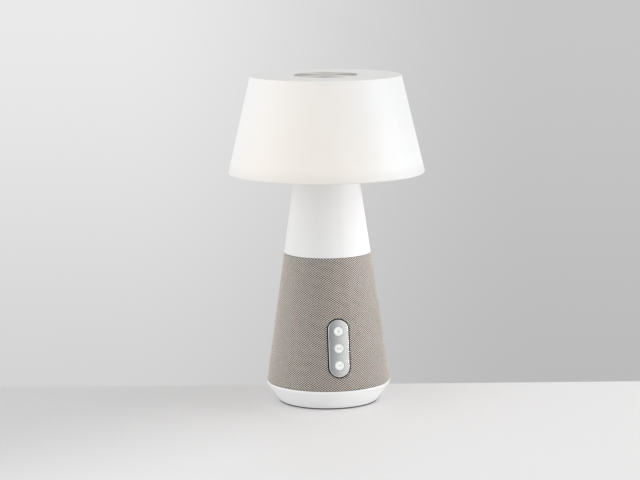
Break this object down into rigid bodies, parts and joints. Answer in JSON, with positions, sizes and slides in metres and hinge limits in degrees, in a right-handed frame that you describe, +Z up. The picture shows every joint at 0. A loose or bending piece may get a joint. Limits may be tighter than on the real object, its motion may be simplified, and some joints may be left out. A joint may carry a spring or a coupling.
{
  "type": "table lamp with wireless speaker",
  "caption": "Cordless table lamp whose cloth-covered conical foot is a wireless speaker; pill-shaped key panel, white neck, opal shade with touch-sensitive metal disc.",
  "frame": {"origin": "on the table, at the centre of the rubber foot ring", "axes": "+Z up through the shade; the key panel faces -Y and the charging panel +Y"},
  "size_m": [0.1608, 0.1608, 0.27],
  "materials": {
    "shade_opal": "satin, translucent",
    "white_plastic": "fine satin",
    "black_plastic": "matte",
    "cloth": "woven, taupe",
    "black_rubber": "matte",
    "panel_grey": "satin, silver-grey",
    "key_white": "satin",
    "spun_metal": "spun, fine circular grain",
    "steel": "zinc plated",
    "cast_weight": "raw",
    "circuit_green": "solder mask",
    "chip_black": "moulded",
    "tin": "tinned",
    "socket_cream": "moulded",
    "ferrite": "ground",
    "foam": "closed cell",
    "paper_cone": "pressed",
    "coil_copper": "enamelled wire",
    "spider_cloth": "impregnated",
    "cell_wrap": "shrink film",
    "nickel": "bright",
    "led_yellow": "phosphor",
    "strip_white": "film",
    "diffuser_opal": "frosted",
    "lead_black": "insulation"
  },
  "bodies": {
    "housing": {"foot_ring": "black_rubber", "base_ring": "white_plastic", "base_plate": "black_plastic", "base_screws": "steel", "ballast": "cast_weight", "main_board": "circuit_green", "board_screws": "steel", "wireless_module": "tin", "board_chips": "chip_black", "board_sockets": "socket_cream", "grille_frame": "black_plastic", "fabric_sleeve": "cloth", "driver_baffle": "black_plastic", "driver_screws": "steel", "driver_gasket": "foam", "driver_basket": "steel", "driver_steel": "steel", "driver_magnet": "ferrite", "driver_spider": "spider_cloth", "driver_surround": "black_rubber", "sound_deflector": "black_plastic", "bulkhead": "black_plastic", "neck_shell": "white_plastic", "neck_screws": "steel", "battery_cradle": "black_plastic", "battery_cell": "cell_wrap", "battery_tabs": "nickel", "button_panel": "panel_grey", "panel_gasket": "black_rubber", "key_board": "circuit_green", "key_switches": "chip_black", "panel_screws": "steel", "port_panel": "panel_grey", "port_gasket": "black_rubber", "port_board": "circuit_green", "usb_socket": "tin", "power_switch": "chip_black", "microphone": "tin", "lamp_post": "white_plastic", "led_strip": "strip_white", "led_chips": "led_yellow", "led_diffuser": "diffuser_opal", "touch_board": "circuit_green", "touch_spring": "steel", "shade": "shade_opal", "clamp_ring": "steel", "shade_screws": "steel", "touch_disc": "spun_metal", "battery_lead": "lead_black", "lamp_lead": "lead_black", "speaker_lead": "lead_black", "panel_leads": "lead_black"},
    "button_plus": {"button_plus": "key_white"},
    "button_play": {"button_play": "key_white"},
    "button_minus": {"button_minus": "key_white"},
    "diaphragm": {"driver_cone": "paper_cone", "driver_dust_cap": "paper_cone", "voice_coil": "coil_copper"},
    "power_slider": {"power_slider": "black_plastic"}
  },
  "joints": [
    {"name": "button_plus_press", "type": "slide", "parent": "housing", "child": "button_plus", "axis": [0, 0.9899, -0.1421], "range_m": [0, 0.0005], "stiffness_N_per_m": 2000},
    {"name": "button_play_press", "type": "slide", "parent": "housing", "child": "button_play", "axis": [0, 0.9899, -0.1421], "range_m": [0, 0.0005], "stiffness_N_per_m": 2000},
    {"name": "button_minus_press", "type": "slide", "parent": "housing", "child": "button_minus", "axis": [0, 0.9899, -0.1421], "range_m": [0, 0.0005], "stiffness_N_per_m": 2000},
    {"name": "diaphragm_stroke", "type": "slide", "parent": "housing", "child": "diaphragm", "axis": [0, 0, 1], "range_m": [-0.002, 0.002], "stiffness_N_per_m": 1500, "deforming": ["driver_surround", "driver_spider"]},
    {"name": "power_switch_slide", "type": "slide", "parent": "housing", "child": "power_slider", "axis": [-1, 0, 0], "range_m": [0, 0.0025]}
  ]
}
